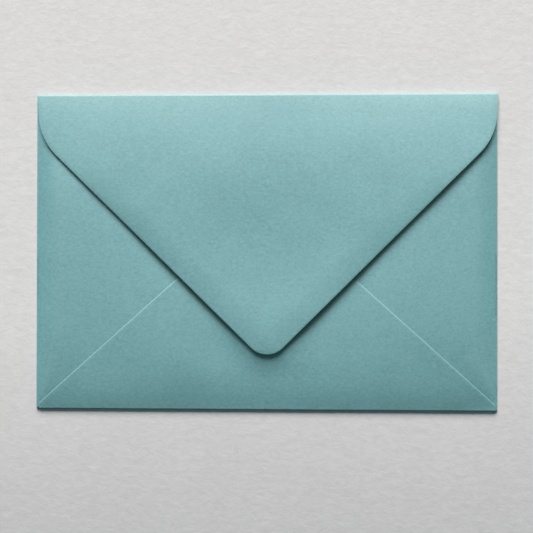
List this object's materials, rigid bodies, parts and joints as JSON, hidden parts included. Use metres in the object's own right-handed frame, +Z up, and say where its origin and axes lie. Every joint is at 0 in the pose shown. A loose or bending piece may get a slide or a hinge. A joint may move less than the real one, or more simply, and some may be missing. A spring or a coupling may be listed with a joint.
{
  "type": "paper envelope",
  "caption": "Folded paper envelope with a pointed, round-tipped top flap closed over its back, for holding a card or a letter.",
  "frame": {"origin": "centre of the front panel's outer face, the plain side that it lies on", "axes": "+X along the long side, +Y towards the fold of the top flap, +Z up through the flap side"},
  "size_m": [0.1768, 0.12, 0.0044],
  "materials": {
    "paper": "satin, dyed through, dusty teal"
  },
  "bodies": {
    "root": {"envelope_sheet": "paper"}
  },
  "joints": []
}
